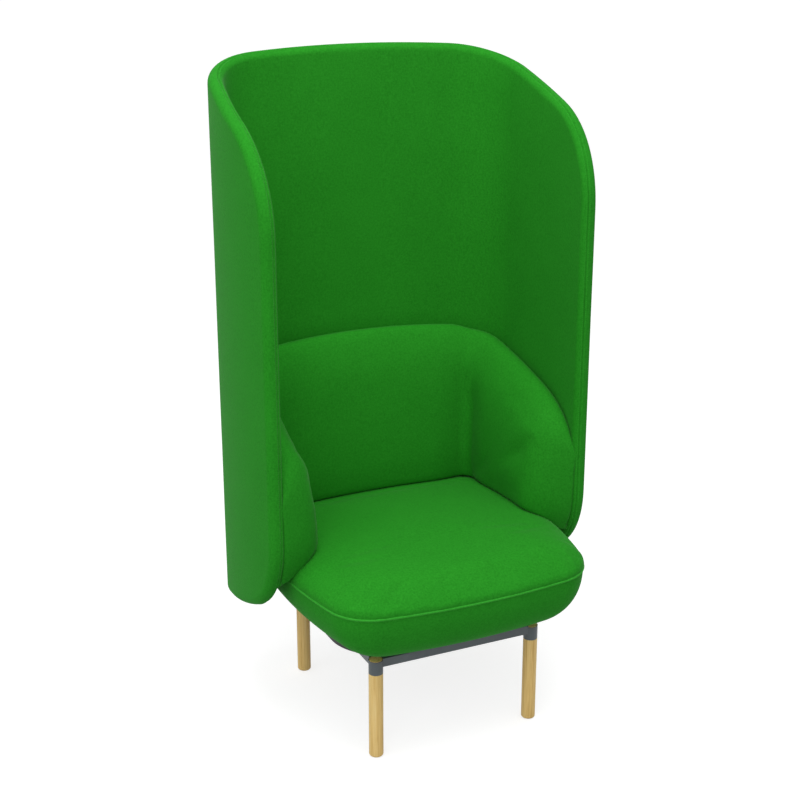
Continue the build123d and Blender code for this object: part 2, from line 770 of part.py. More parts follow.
for name, place in leg_places.items():
    with BuildPart() as collar:
        with BuildSketch(Plane.XY.offset(collar_bottom)):
            with Locations(place):
                Circle(leg_diameter / 2)
                Circle(leg_diameter / 2 - collar_wall, mode=Mode.SUBTRACT)
        extrude(amount=collar_height)
        with BuildSketch(screw_plane(place)):
            Circle(screw_hole / 2)
        extrude(amount=leg_screw_length, mode=Mode.SUBTRACT)
    save(collar, f"collar_{name}")

    with BuildPart() as leg:
        with BuildSketch(Plane.XY.offset(foot_height)):
            with Locations(place):
                Circle(leg_diameter / 2)
        extrude(amount=collar_bottom - foot_height)
        fillet(leg.edges().group_by(Axis.Z)[0], leg_foot_radius)
        with BuildSketch(Plane.XY.offset(collar_bottom)):
            with Locations(place):
                Circle(leg_diameter / 2 - collar_wall - tenon_clearance)
        extrude(amount=collar_height + tenon_rise)
        with BuildSketch(Plane.XY.offset(foot_height)):
            with Locations(place):
                Circle(glide_diameter / 2 + glide_clearance)
        extrude(amount=glide_thickness - foot_height, mode=Mode.SUBTRACT)
        with BuildSketch(screw_plane(place)):
            Circle(screw_hole / 2)
        extrude(amount=leg_screw_length + screw_clearance, mode=Mode.SUBTRACT)
    save(leg, f"leg_{name}")

    with BuildPart() as glide:
        with BuildSketch():
            with Locations(place):
                Circle(glide_diameter / 2)
        extrude(amount=glide_thickness)
        chamfer(glide.edges().group_by(Axis.Z)[0], foot_height / 2)
    save(glide, f"glide_{name}")
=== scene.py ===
import math

import bmesh
import bpy
import numpy as np
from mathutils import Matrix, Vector, noise


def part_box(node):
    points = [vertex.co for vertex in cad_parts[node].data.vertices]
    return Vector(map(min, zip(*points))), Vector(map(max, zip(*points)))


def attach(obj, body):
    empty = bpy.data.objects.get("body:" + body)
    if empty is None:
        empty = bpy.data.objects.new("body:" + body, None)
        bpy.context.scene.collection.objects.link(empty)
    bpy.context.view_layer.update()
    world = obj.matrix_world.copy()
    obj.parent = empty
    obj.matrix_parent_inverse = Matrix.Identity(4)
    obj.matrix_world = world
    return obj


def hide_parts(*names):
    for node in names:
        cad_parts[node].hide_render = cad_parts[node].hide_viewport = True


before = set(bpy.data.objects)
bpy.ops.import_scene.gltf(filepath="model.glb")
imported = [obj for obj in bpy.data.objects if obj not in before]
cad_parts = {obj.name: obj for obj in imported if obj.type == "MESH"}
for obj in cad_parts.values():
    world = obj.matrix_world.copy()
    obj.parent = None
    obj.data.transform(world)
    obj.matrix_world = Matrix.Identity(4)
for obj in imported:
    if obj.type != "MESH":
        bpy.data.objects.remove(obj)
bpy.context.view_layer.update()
screen_low, screen_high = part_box("screen_outer_pad")
piping_low, piping_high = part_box("seat_piping")
seat_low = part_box("seat_foam")[0]

# ---------------------------------------------------------------- sizes, in metres
MM = 0.001

# Plan of the acoustic screen, on its outer face
half_width = screen_high.x
widest_y = 7 * MM
back_y = screen_high.y
front_y = screen_low.y
side_radius = 1170 * MM
corner_radius = 158 * MM
back_radius = 1510 * MM
thickness = 32 * MM
rim = thickness / 2
outer_backing = -10.6 * MM      # back of the outer padding, just off the board
inner_backing = -20.4 * MM      # back of the inner padding, just off the board

# Side outline of the screen
height = screen_high.z
slope = 0.386
top_corner_radius = 217 * MM
base_height = 219 * MM
base_radius = 824 * MM
toe_radius = 188 * MM

# Seam of the screen's rim
seam_angle = math.radians(110)
seam_width = 1.5 * MM
seam_depth = 1.3 * MM
seam_puff = 0.5 * MM
puff_distance = 2.4 * seam_width
seam_zone = 4.5 * seam_width
seam_tuck = 4 * seam_width
ripple_length = 160 * MM
ripple_depth = 0.35 * MM
ripple_seed = 3.0
stitch_offset = 3.4 * MM
stitch_length = 3.0 * MM
stitch_pitch = 4.4 * MM
stitch_radius = 0.38 * MM
stitch_upright = (0.0, 0.6, 0.8)      # a stitch's first side is square to this
spindle = ((-0.5, 0.2), (-0.3, 1.0), (0.3, 1.0), (0.5, 0.2))     # shares of length and radius

# Steps of the screen's mesh
screen_front_steps = 18
screen_side_steps = 8
screen_corner_steps = 16
screen_back_steps = 16
screen_rows = 71
rim_steps = 9
seam_steps = 10

# Low back and arms
low_height = 744 * MM
low_slope = 0.343
arm_turn_y = 5 * MM
arm_turn_radius = 304 * MM
arm_front_y = -118.6 * MM
arm_nose = 66 * MM
crest_dip = 8.7 * MM
crest_dip_y = 256 * MM
crest_dip_width = 30 * MM
belly = 98 * MM
belly_rise = 20 * MM
crest_reach = 40 * MM
arm_crest_reach = 24 * MM
crest_rise = 33 * MM
face_power = 2.2
nose_drop = 34 * MM
low_edge = 363 * MM
seat_touch = 0.92
low_gap = 0.4 * MM
seat_clearance = 1.4 * MM
nose_overlap = 10 * MM
toe_fade = 130 * MM

# Creases: share of the corner's turn, distance along the back, depth, width, drop of the start
main_crease = (0.52, 0.0, 14 * MM, 22 * MM, 45 * MM)
back_crease = (1.0, 16 * MM, 5 * MM, 24 * MM, 10 * MM)
crease_above = 30 * MM
crease_below = 90 * MM

# Steps of the pad's mesh
nose_steps = 14
first_nose_step = 0.2
arm_steps = 16
pad_corner_steps = 18
pad_back_steps = 24
crest_steps = 5
face_steps = 34
turn_in_steps = 10
underside_steps = 12
back_rows = 16

# Seat cushion
seat_gap = 26 * MM
seat_front_y = piping_low.y
front_bow = 1370 * MM
front_corner = 97 * MM
least_corner = 42 * MM
piping_height = (piping_low.z + piping_high.z) / 2
piping_radius = 3.2 * MM
piping_proud = 2.2 * MM
seat_bottom = seat_low.z
bowl_reach = 132 * MM
bowl_front_reach = 100 * MM
bowl_power = 2.3
shoulder_rise = 48 * MM
shoulder_reach = 90 * MM
shoulder_power = 2.3
crown_rise = 18 * MM
crown_reach = 312 * MM
rear_dip = 9 * MM
dip_start = -60 * MM
dip_end = 200 * MM
underside_start = seat_gap + 3 * MM
seat_lip = 3.5 * MM
seat_lip_rise = 14 * MM
piping_pitch = 4 * MM
piping_sides = 16

# Steps of the seat's mesh: insets are in millimetres, outline_steps has one count per arc of the plan
base_insets = (250, 220, 190, 160)
bowl_steps = 14
top_insets = (0.3, 1, 4, 9, 16, 26, 38, 52, 70, 90, 115, 145, 180, 215, 250)
outline_steps = (16, 16, 26, 14, 16)

# Cloth
voxel = 6 * MM
cloth_frames = 20
cloth_pressure = 4.0
cloth_travel = 5 * MM
held_share = 0.01       # a point that is less free than this is held
relax_strength = 0.5
remesh_relax = 4
cloth_relax = 3

# Distances over which the cloth goes from held to free
piping_hold = (3 * MM, 30 * MM)
board_hold = (2 * MM, 25 * MM)
pad_hold = (5 * MM, 45 * MM)
nose_hold = (10 * MM, 60 * MM)
screen_hold = (6 * MM, 60 * MM)
seat_hold = (3 * MM, 60 * MM)
arm_hold = (5 * MM, 90 * MM)

# ---------------------------------------------------------------- plan of the wall
inner_face = -thickness
slope_angle = math.atan(slope)
inner_back_y = back_y - thickness
side_centre = (half_width - side_radius, widest_y)
back_centre = (0.0, back_y - back_radius)


def tangent_centre(circle_a, circle_b, radius, upper):
    """Centre of an arc that lies inside two circles and touches both."""
    (ax, ay), ra = circle_a
    (bx, by), rb = circle_b
    ra, rb = ra - radius, rb - radius
    span = math.hypot(bx - ax, by - ay)
    along = (ra * ra - rb * rb + span * span) / (2 * span)
    across = math.sqrt(ra * ra - along * along)
    ux, uy = (bx - ax) / span, (by - ay) / span
    first = (ax + along * ux + across * uy, ay + along * uy - across * ux)
    second = (ax + along * ux - across * uy, ay + along * uy + across * ux)
    return max(first, second, key=lambda point: point[1] if upper else -point[1])


def bearing(centre, point):
    """Direction from a centre to a point."""
    return math.atan2(point[1] - centre[1], point[0] - centre[0])


corner_centre = tangent_centre((side_centre, side_radius), (back_centre, back_radius), corner_radius, True)
side_end = bearing(side_centre, corner_centre)
corner_end = bearing(back_centre, corner_centre)


def stations(depths, corner_steps, back_steps):
    """Places along the wall, from the right front edge round the back to the left one.

    Each row is an arc's centre, its radius on the outer face, an angle, and the side.
    """
    rows = []
    for y in depths:
        rows.append((*side_centre, side_radius, math.asin((y - widest_y) / (side_radius + inner_face)), 1))
    for share in np.linspace(0, 1, corner_steps + 1):
        rows.append((*corner_centre, corner_radius, side_end + share * (corner_end - side_end), 1))
    for share in np.linspace(0, 1, back_steps + 1)[1:]:
        rows.append((*back_centre, back_radius, corner_end + share * (math.pi / 2 - corner_end), 1))
    right = np.array(rows)
    left = right[-2::-1].copy()
    left[:, 4] = -1
    return np.vstack([right, left])


def wall_normals(places):
    """Outward directions of the wall at the places."""
    out = np.zeros((len(places), 3))
    out[:, 0] = places[:, 4] * np.cos(places[:, 3])
    out[:, 1] = np.sin(places[:, 3])
    return out


def wall_points(places, offset):
    """Points of the wall at height 0, at an offset from its outer face."""
    foot = np.zeros((len(places), 3))
    reach = places[:, 2] + offset
    foot[:, 0] = places[:, 4] * (places[:, 0] + reach * np.cos(places[:, 3]))
    foot[:, 1] = places[:, 1] + reach * np.sin(places[:, 3])
    return foot


# ---------------------------------------------------------------- side outline of the screen
top_centre_y = front_y + top_corner_radius
top_centre_z = height - slope * (inner_back_y - top_centre_y) - top_corner_radius / math.cos(slope_angle)
toe_centre_y = front_y + toe_radius
base_centre_z = base_height + base_radius
toe_centre_z = base_centre_z - math.sqrt((base_radius - toe_radius) ** 2 - (back_y - toe_centre_y) ** 2)
toe_end = math.atan2(toe_centre_z - base_centre_z, toe_centre_y - back_y)


def screen_top(y, inset):
    """Height of the screen's top rim at a depth, inside the outline by an inset."""
    radius = top_corner_radius - inset
    if y > top_centre_y - radius * math.sin(slope_angle):
        return height - slope * (inner_back_y - y) - inset / math.cos(slope_angle)
    return top_centre_z + math.sqrt(max(radius**2 - (y - top_centre_y) ** 2, 0.0))


def screen_base(y, inset):
    """Height of the screen's bottom rim at a depth, inside the outline by an inset."""
    radius = toe_radius - inset
    if y < back_y + (base_radius - inset) * math.cos(toe_end):
        return toe_centre_z - math.sqrt(max(radius**2 - (y - toe_centre_y) ** 2, 0.0))
    return base_centre_z - math.sqrt((base_radius - inset) ** 2 - (min(y, back_y) - back_y) ** 2)


# ---------------------------------------------------------------- mesh helpers
def make_piece(name, points, faces, smooth=True):
    """Object with a mesh of these points and faces."""
    mesh = bpy.data.meshes.new(name)
    mesh.from_pydata([tuple(point) for point in points], [], faces)
    mesh.validate()
    mesh.update()
    if smooth:
        mesh.shade_smooth()
    piece = bpy.data.objects.new(name, mesh)
    bpy.context.scene.collection.objects.link(piece)
    return piece


def apply_modifiers(piece):
    """Turn the piece's modifiers into its mesh."""
    bpy.context.view_layer.update()
    evaluated = piece.evaluated_get(bpy.context.evaluated_depsgraph_get())
    mesh = bpy.data.meshes.new_from_object(evaluated)
    piece.modifiers.clear()
    old = piece.data
    piece.data = mesh
    bpy.data.meshes.remove(old)
    mesh.name = piece.name
    mesh.shade_smooth()


def strip(first, second, closed, flip=False):
    """Quads between two rows of vertex numbers."""
    count = len(first)
    faces = []
    for k in range(count if closed else count - 1):
        n = (k + 1) % count
        quad = (first[k], second[k], second[n], first[n])
        faces.append(quad[::-1] if flip else quad)
    return faces


def get_points(piece):
    """The piece's vertices as an array."""
    co = np.empty(len(piece.data.vertices) * 3)
    piece.data.vertices.foreach_get("co", co)
    return co.reshape(-1, 3)


def set_points(piece, points):
    """Move the piece's vertices to these points."""
    piece.data.vertices.foreach_set("co", np.asarray(points).ravel())
    piece.data.update()


def soft_noise(points, scale, seed):
    """Smooth noise between about -1 and 1 at each point."""
    shift = Vector((seed, 2.7 * seed, -1.3 * seed))
    return np.array([noise.noise(Vector(point) / scale + shift) for point in points])


# ---------------------------------------------------------------- acoustic screen
def screen_places():
    """Stations of the screen, close together where its front corners turn."""
    turn = math.pi / 2 - slope_angle
    radius = top_corner_radius - rim
    turns = [turn * k / screen_front_steps for k in range(screen_front_steps)]
    depths = [top_centre_y - radius * math.cos(angle) for angle in turns]
    depths += list(np.linspace(depths[-1], inner_back_y - corner_radius, screen_side_steps)[1:])
    return stations(depths, screen_corner_steps, screen_back_steps)


def screen_grid():
    """Stations of the screen, and the heights of its rows at each of them."""
    places = screen_places()
    depths = wall_points(places, inner_face)[:, 1]
    low = np.array([screen_base(y, rim) for y in depths])
    high = np.array([screen_top(y, rim) for y in depths])
    share = np.linspace(0, 1, screen_rows)
    return places, low[:, None] + (high - low)[:, None] * share[None, :]


def rim_loop(places, heights):
    """Grid places round the rim, its centre line, its wall normals and its outward directions."""
    middle = wall_points(places, -rim)
    normals = wall_normals(places)
    count, rows = heights.shape
    loop = [(i, 0) for i in range(count)]
    loop += [(count - 1, j) for j in range(1, rows)]
    loop += [(i, rows - 1) for i in range(count - 2, -1, -1)]
    loop += [(0, j) for j in range(rows - 2, 0, -1)]
    points = np.array([(middle[i, 0], middle[i, 1], heights[i, j]) for i, j in loop])
    facing = np.array([normals[i] for i, _ in loop])
    ahead = np.roll(points, -1, axis=0) - points
    ahead /= np.linalg.norm(ahead, axis=1)[:, None]
    along = ahead + np.roll(ahead, 1, axis=0)
    out = np.cross(along, facing)
    out /= np.linalg.norm(out, axis=1)[:, None]
    return loop, points, facing, out


def rim_radius(angle):
    """Radius of the rolled rim at an angle: drawn in at the seam, puffed beside it."""
    away = rim * (angle - seam_angle)
    groove = seam_depth * math.exp(-((away / seam_width) ** 2))
    puff = seam_puff * math.exp(-(((abs(away) - puff_distance) / seam_width) ** 2))
    return rim - groove + puff


def rim_ring(points, facing, out, angle, radius):
    """Points round the rim at an angle from the outer face."""
    return points + radius * (math.cos(angle) * facing + math.sin(angle) * out)


def make_cover(name, offset, backing, start, flip):
    """One side of the screen's padding with its half of the rim, closed behind at the board."""
    places, heights = screen_grid()
    loop, points, facing, out = rim_loop(places, heights)
    face = wall_points(places, offset)
    count, rows = heights.shape
    vertices = [(face[i, 0], face[i, 1], heights[i, j]) for i in range(count) for j in range(rows)]
    faces = []
    for i in range(count - 1):
        first = [i * rows + j for j in range(rows)]
        second = [(i + 1) * rows + j for j in range(rows)]
        faces += strip(first, second, False, flip)
    ring = [i * rows + j for i, j in loop]
    near = seam_zone / rim
    side = math.copysign(1, seam_angle - start)
    wide = np.linspace(start, seam_angle - side * near, rim_steps)[1:]
    tight = np.linspace(seam_angle - side * near, seam_angle, seam_steps)[1:]
    rings = [(angle, rim_radius(angle)) for angle in (*wide, *tight)]
    rings.append((seam_angle, rim - seam_tuck))
    for angle, radius in rings:
        base = len(vertices)
        vertices += list(rim_ring(points, facing, out, angle, radius))
        following = list(range(base, base + len(loop)))
        faces += strip(ring, following, True, flip)
        ring = following
    base = len(vertices)
    back = wall_points(places, backing)
    vertices += [(back[i, 0], back[i, 1], heights[i, j]) for i in range(count) for j in range(rows)]
    for i in range(count - 1):
        first = [base + i * rows + j for j in range(rows)]
        faces += strip(first, [k + rows for k in first], False, not flip)
    faces += strip(ring, [base + i * rows + j for i, j in loop], True, flip)
    piece = make_piece(name, vertices, faces)
    ripple = soft_noise(get_points(piece), ripple_length, ripple_seed + offset)
    normals = np.array([vertex.normal for vertex in piece.data.vertices])
    set_points(piece, get_points(piece) + normals * (ripple_depth * ripple)[:, None])
    return piece


def resample(points, pitch):
    """Points and directions along a closed line, one per pitch."""
    closed = np.vstack([points, points[:1]])
    steps = np.linalg.norm(np.diff(closed, axis=0), axis=1)
    length = np.concatenate([[0], np.cumsum(steps)])
    count = int(length[-1] / pitch)
    at = np.arange(count) * length[-1] / count
    spots = np.stack([np.interp(at, length, closed[:, k]) for k in range(3)], axis=1)
    ahead = np.roll(spots, -1, axis=0) - np.roll(spots, 1, axis=0)
    return spots, ahead / np.linalg.norm(ahead, axis=1)[:, None]


def make_stitches(name, rows):
    """Short threads along the rows, each a slim spindle half sunk in the fabric."""
    vertices, faces = [], []
    sides = 6
    for line in rows:
        spots, ahead = resample(line, stitch_pitch)
        for spot, forward in zip(spots, ahead):
            across = np.cross(forward, stitch_upright)
            across /= np.linalg.norm(across)
            over = np.cross(forward, across)
            base = len(vertices)
            for share, width in spindle:
                for k in range(sides):
                    turn = 2 * math.pi * k / sides
                    radial = across * math.cos(turn) + over * math.sin(turn)
                    vertices.append(spot + forward * share * stitch_length + radial * width * stitch_radius)
            for ring in range(len(spindle) - 1):
                first = [base + ring * sides + k for k in range(sides)]
                faces += strip(first, [k + sides for k in first], True)
            faces.append(tuple(base + k for k in range(sides)))
            last = base + (len(spindle) - 1) * sides
            faces.append(tuple(last + k for k in reversed(range(sides))))
    return make_piece(name, vertices, faces)


screen_outer = make_cover("screen_outer_cover", 0.0, outer_backing, 0.0, True)
screen_inner = make_cover("screen_inner_cover", inner_face, inner_backing, math.pi, False)
seam_places, seam_heights = screen_grid()
_, seam_line, seam_facing, seam_out = rim_loop(seam_places, seam_heights)
stitch_turns = (seam_angle - stitch_offset / rim, seam_angle + stitch_offset / rim)
screen_stitches = make_stitches(
    "screen_seam_stitches",
    [rim_ring(seam_line, seam_facing, seam_out, turn, rim_radius(turn)) for turn in stitch_turns],
)

# ---------------------------------------------------------------- low back and arms
low_slope_angle = math.atan(low_slope)
arm_centre_y = arm_turn_y + arm_turn_radius * math.sin(low_slope_angle)
arm_centre_z = (
    low_height - low_slope * (inner_back_y - arm_turn_y) - arm_turn_radius * math.cos(low_slope_angle)
)


def low_top(y):
    """Height of the pad's upper edge at the screen, which sags a little at the rear corners."""
    if y > arm_turn_y:
        sag = crest_dip * math.exp(-(((y - crest_dip_y) / crest_dip_width) ** 2))
        return low_height - low_slope * (inner_back_y - y) - sag
    drop = nose_drop * (1 - nose_share(y)) ** 2
    return arm_centre_z + math.sqrt(arm_turn_radius**2 - (y - arm_centre_y) ** 2) - drop


def ease(value, start, end):
    """Smooth step from 0 at the start to 1 at the end."""
    share = np.clip((value - start) / (end - start), 0, 1)
    return share * share * (3 - 2 * share)


def dip(y):
    """How far the seat's surface falls away towards the back."""
    return rear_dip * ease(y, dip_start, dip_end)


def crown_height(inset):
    """Height of the seat above its piping, at a distance in from it."""
    left = max(1 - inset / shoulder_reach, 0.0)
    shoulder = shoulder_rise * (1 - left**shoulder_power) ** (1 / shoulder_power)
    return shoulder + crown_rise * (1 - (1 - min(inset / crown_reach, 1)) ** 2)


def low_underside(reach, y):
    """Height of the pad's underside: just above the seat, and lower beside the seat."""
    inset = max(reach, underside_start) - seat_gap
    fade = min(inset / shoulder_reach, 1)
    seat_level = piping_height + crown_height(inset) - fade * dip(y) + seat_clearance
    if reach > underside_start:
        return seat_level
    return low_edge + (seat_level - low_edge) * (reach / underside_start) ** 2


def arc_between(centre, start, end, count):
    """Points of an arc from one point to another, the short way round."""
    radius = math.hypot(start[0] - centre[0], start[1] - centre[1])
    first, last = bearing(centre, start), bearing(centre, end)
    sweep = (last - first + math.pi) % (2 * math.pi) - math.pi
    angles = [first + sweep * k / count for k in range(count)]
    return [(centre[0] + radius * math.cos(angle), centre[1] + radius * math.sin(angle)) for angle in angles]


def low_profile(y, share):
    """Front of the pad at a depth, from its upper edge to its lower one: reach, height."""
    top = low_top(y)
    reach = belly * share
    crest_from = arm_crest_reach + (crest_reach - arm_crest_reach) * ease(y, arm_front_y, inner_back_y)
    crest = (crest_from * share, top + crest_rise * share)
    edge_radius = (crest[0] ** 2 + (crest[1] - top) ** 2) / (2 * (crest[1] - top))
    touch = (seat_touch * reach, low_underside(seat_touch * reach, y))
    bulge = belly_rise * share
    belly_height = touch[1] + bulge
    points = arc_between((crest[0], crest[1] - edge_radius), (0.0, top), crest, crest_steps)
    for turn in np.linspace(0, math.pi / 2, face_steps, endpoint=False):
        ahead = math.sin(turn) ** (2 / face_power) * (reach - crest[0])
        above = math.cos(turn) ** (2 / face_power) * (crest[1] - belly_height)
        points.append((crest[0] + ahead, belly_height + above))
    inward = reach - touch[0]
    for k in range(turn_in_steps):
        angle = math.pi / 2 * k / turn_in_steps
        points.append((touch[0] + inward * math.cos(angle), belly_height - bulge * math.sin(angle)))
    for k in range(underside_steps + 1):
        under = touch[0] * (1 - k / underside_steps)
        points.append((under, low_underside(under, y)))
    return np.array(points)


def nose_share(y):
    """Share of the pad's full reach at a depth: a rounded nose at the front of each arm."""
    left = max(1 - (y - arm_front_y) / arm_nose, 0.0)
    return math.sqrt(1 - left**2)


def rim_sink(y):
    """How far the rolled rim of the screen falls back from its inner face at a depth."""
    ahead = min(max(front_y + rim - y, 0.0), rim)
    return min(rim - math.sqrt(rim**2 - ahead**2), nose_overlap)


def crease_spot(share, along):
    """Plan place of a crease: on the pad's inner corner, or along the back from it."""
    angle = side_end + share * (corner_end - side_end)
    reach = corner_radius + inner_face - belly
    return (
        corner_centre[0] + reach * math.cos(angle) - along,
        corner_centre[1] + reach * math.sin(angle),
    )


def creases(spot, points):
    """How far the pad is drawn in near a rear corner, for each point of its front."""
    drawn = np.zeros(len(points))
    for share, along, depth, width, start in (main_crease, back_crease):
        across = depth * math.exp(-((math.dist(spot, crease_spot(share, along)) / width) ** 2))
        drop = points[0, 1] - points[:, 1]
        drawn += across * ease(drop, start - crease_above, start + crease_below)
    return drawn * np.clip(points[:, 0] / belly, 0, 1)


def toe_shift(heights):
    """How far the screen's front edge has turned back at these heights."""
    below = np.clip(toe_centre_z - heights, 0, toe_radius - rim)
    return toe_radius - np.sqrt(toe_radius**2 - below**2)


def arm_feet(depths, side):
    """Points of the screen's inner face at these depths, and the directions into the chair."""
    radius = side_radius + inner_face
    angles = np.arcsin((depths - widest_y) / radius)
    inward = np.column_stack([-side * np.cos(angles), -np.sin(angles), np.zeros(len(angles))])
    reach = side_centre[0] + radius * np.cos(angles)
    feet = np.column_stack([side * reach, depths, np.zeros(len(angles))])
    return feet, inward


def make_low_back():
    """The padded low back with its arms, one closed form inside the screen."""
    steps = (first_nose_step, *range(1, nose_steps + 1))
    turns = [math.pi / 2 * k / nose_steps for k in steps]
    depths = [arm_front_y + arm_nose * (1 - math.cos(turn)) for turn in turns]
    depths += list(np.linspace(depths[-1], inner_back_y - corner_radius, arm_steps)[1:])
    places = stations(depths, pad_corner_steps, pad_back_steps)
    all_feet = wall_points(places, inner_face)
    inward = -wall_normals(places)
    vertices, rings = [], []
    for foot, toward, side in zip(all_feet, inward, places[:, 4]):
        y = foot[1]
        front = low_profile(y, nose_share(y))
        spot = foot + toward * belly
        front[:, 0] -= creases((abs(spot[0]), spot[1]), front)
        sink = low_gap - rim_sink(y)
        back = np.linspace(front[-1, 1], front[0, 1], back_rows + 2)[1:-1]
        reach = np.concatenate([sink + front[:, 0], np.full(back_rows, sink)])
        heights = np.concatenate([front[:, 1], back])
        feet, towards = foot, toward
        fade = 1 - ease(y, arm_front_y, arm_front_y + toe_fade)
        if fade > 0:
            feet, towards = arm_feet(y + fade * toe_shift(heights), side)
        points = feet + towards * reach[:, None]
        points[:, 2] = heights
        rings.append(list(range(len(vertices), len(vertices) + len(points))))
        vertices += list(points)
    faces = []
    for first, second in zip(rings, rings[1:]):
        faces += strip(first, second, True)
    faces.append(tuple(rings[0]))
    faces.append(tuple(reversed(rings[-1])))
    return make_piece("low_back_upholstery", vertices, faces)


low_back = make_low_back()

# ---------------------------------------------------------------- seat cushion
def seat_outline(side_inset, front_inset):
    """Plan of the seat inside its piping by an inset, as points from front to front."""
    offset = inner_face - seat_gap - side_inset
    side = (side_centre, side_radius + offset)
    rear = (back_centre, back_radius + offset)
    bow = ((0.0, seat_front_y + front_bow), front_bow - front_inset)
    rear_corner = max(corner_radius + offset, least_corner)
    corner = max(front_corner - front_inset, least_corner)
    rear_middle = tangent_centre(side, rear, rear_corner, True)
    front_middle = tangent_centre(side, bow, corner, False)
    front_end = bearing(bow[0], front_middle)
    side_start = bearing(side[0], front_middle)
    side_stop = bearing(side[0], rear_middle)
    rear_start = bearing(rear[0], rear_middle)
    arcs = (
        (*bow, -math.pi / 2, front_end),
        (front_middle, corner, front_end, side_start),
        (*side, side_start, side_stop),
        (rear_middle, rear_corner, side_stop, rear_start),
        (*rear, rear_start, math.pi / 2),
    )
    right = []
    for (centre, radius, start, stop), count in zip(arcs, outline_steps):
        for k in range(count):
            angle = start + (stop - start) * k / count
            right.append((centre[0] + radius * math.cos(angle), centre[1] + radius * math.sin(angle)))
    right.append((0.0, rear[0][1] + rear[1]))
    return np.array(right + [(-x, y) for x, y in reversed(right[1:-1])])


def make_seat_block():
    """Closed form of the whole cushion, in rings from below to above."""
    rings = []
    for inset in base_insets:
        rings.append((seat_outline(inset * MM, inset * MM), seat_bottom))
    for turn in np.linspace(0, math.pi / 2, bowl_steps):
        share = math.cos(turn) ** (2 / bowl_power)
        drawn_in = 1 - math.sin(turn) ** (2 / bowl_power)
        level = piping_height - share * (piping_height - seat_bottom)
        rings.append((seat_outline(bowl_reach * drawn_in, bowl_front_reach * drawn_in), level))
    for inset in top_insets:
        rise = crown_height(inset * MM)
        lip = seat_lip * (rise / seat_lip_rise) * math.exp(1 - rise / seat_lip_rise)
        plan = seat_outline(inset * MM - lip, inset * MM - lip)
        fade = min(inset * MM / shoulder_reach, 1)
        rings.append((plan, piping_height + rise - fade * dip(plan[:, 1])))
    vertices, faces = [], []
    for plan, level in rings:
        levels = np.broadcast_to(level, len(plan))
        vertices += [(x, y, z) for (x, y), z in zip(plan, levels)]
    count = len(rings[0][0])
    numbers = [[r * count + k for k in range(count)] for r in range(len(rings))]
    for first, second in zip(numbers, numbers[1:]):
        faces += strip(first, second, True, True)
    for ring, flip in ((numbers[0], True), (numbers[-1], False)):
        middle = len(vertices)
        centre = np.mean([vertices[k] for k in ring], axis=0)
        if not flip:
            centre[2] = piping_height + crown_height(crown_reach) - dip(centre[1])
        vertices.append(tuple(centre))
        for k in range(count):
            face = (ring[k], ring[(k + 1) % count], middle)
            faces.append(face[::-1] if flip else face)
    return make_piece("seat_cushion", vertices, faces)


def remesh(piece, size):
    """Even quads all over the piece."""
    modifier = piece.modifiers.new("voxels", "REMESH")
    modifier.mode = "VOXEL"
    modifier.voxel_size = size
    apply_modifiers(piece)


def relax(piece, repeats):
    """Even out the small steps that the remesh leaves."""
    modifier = piece.modifiers.new("relax", "SMOOTH")
    modifier.factor = relax_strength
    modifier.iterations = repeats
    apply_modifiers(piece)


def wall_reach(points):
    """Distance of the points in from the screen's inner face, in plan."""
    x, y = np.abs(points[:, 0]), points[:, 1]
    side = side_radius + inner_face - np.hypot(x - side_centre[0], y - side_centre[1])
    rear = back_radius + inner_face - np.hypot(x, y - back_centre[1])
    corner = corner_radius + inner_face - np.hypot(x - corner_centre[0], y - corner_centre[1])
    nearest = np.minimum(side, rear)
    turned = (x > corner_centre[0]) & (y > corner_centre[1])
    return np.where(turned, np.minimum(corner, nearest), nearest)


def puff(piece, free, pressure, cap):
    """Swell the piece as cloth under pressure, as far as each point is free and up to a cap."""
    before = get_points(piece)
    group = piece.vertex_groups.new(name="held")
    group.add([int(k) for k in np.nonzero(free < held_share)[0]], 1.0, "REPLACE")
    modifier = piece.modifiers.new("cloth", "CLOTH")
    settings = modifier.settings
    settings.quality = 4
    settings.mass = 0.3
    settings.tension_stiffness = 15
    settings.compression_stiffness = 15
    settings.shear_stiffness = 5
    settings.bending_stiffness = 0.5
    settings.vertex_group_mass = "held"
    settings.use_pressure = True
    settings.uniform_pressure_force = pressure
    settings.effector_weights.gravity = 0
    modifier.point_cache.frame_start = 1
    modifier.point_cache.frame_end = cloth_frames
    scene = bpy.context.scene
    for number in range(1, cloth_frames + 1):
        scene.frame_set(number)
    evaluated = piece.evaluated_get(bpy.context.evaluated_depsgraph_get())
    after = np.empty(len(evaluated.data.vertices) * 3)
    evaluated.data.vertices.foreach_get("co", after)
    moved = after.reshape(-1, 3) - before
    travel = np.linalg.norm(moved, axis=1)
    limit = free * cap / np.maximum(travel, cap)
    piece.modifiers.clear()
    piece.vertex_groups.clear()
    scene.frame_set(1)
    set_points(piece, before + moved * limit[:, None])
    relax(piece, cloth_relax)
    modifier = piece.modifiers.new("finer", "SUBSURF")
    modifier.levels = 1
    apply_modifiers(piece)


def seat_freedom(points):
    """How free the seat's cloth is: held at the piping, on the board and under the pad."""
    level = points[:, 2]
    beside_piping = ease(np.abs(level - piping_height), *piping_hold)
    above_board = ease(level, seat_bottom + board_hold[0], seat_bottom + board_hold[1])
    inside = ease(wall_reach(points), belly + pad_hold[0], belly + pad_hold[1])
    ahead = ease(arm_front_y - points[:, 1], *nose_hold)
    uncovered = np.where(level > piping_height, np.maximum(inside, ahead), 1.0)
    return beside_piping * above_board * uncovered


